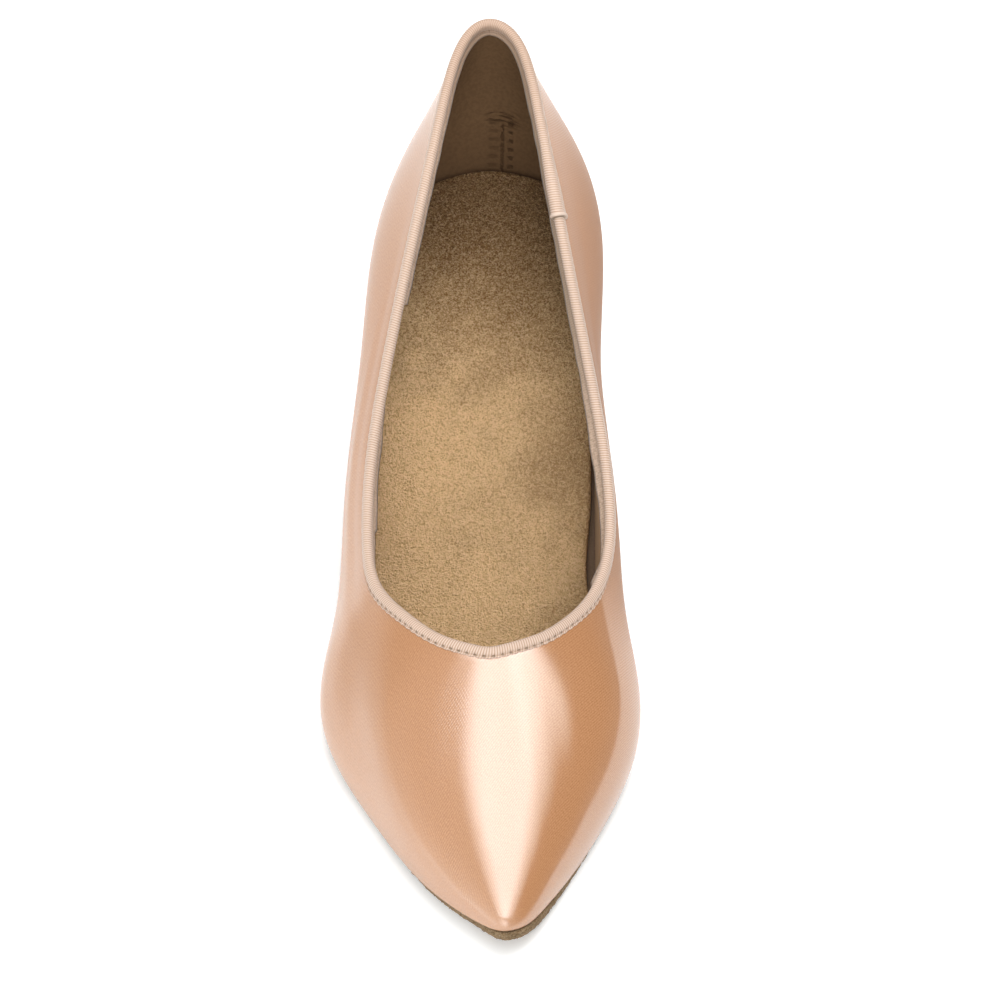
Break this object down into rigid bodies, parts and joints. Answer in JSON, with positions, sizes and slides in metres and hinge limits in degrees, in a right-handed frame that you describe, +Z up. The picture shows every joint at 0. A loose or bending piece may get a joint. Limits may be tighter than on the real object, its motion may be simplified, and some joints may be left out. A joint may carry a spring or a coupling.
{
  "type": "ballroom dance shoe",
  "caption": "Closed ballroom court shoe for the right foot: hollow satin upper, ribbon-bound collar, suede sole and sock, slim covered heel.",
  "frame": {"origin": "on the floor, under the middle of the whole shoe's box", "axes": "+Z up, the toe towards -Y and the heel towards +Y, the inner side of the right foot towards +X"},
  "size_m": [0.0836, 0.2321, 0.1162],
  "materials": {
    "satin": "rose-gold satin with a fine diagonal weave",
    "heel_satin": "the same satin, drawn over the heel",
    "ribbon": "ribbed matt ribbon",
    "sock_suede": "tan suede nap",
    "sole_suede": "brown brushed suede",
    "tip_rubber": "dark matt rubber"
  },
  "bodies": {
    "root": {"outsole": "sole_suede", "insole": "sock_suede", "upper": "satin", "collar_binding": "ribbon", "heel_block": "heel_satin", "heel_tip": "tip_rubber"}
  },
  "joints": []
}
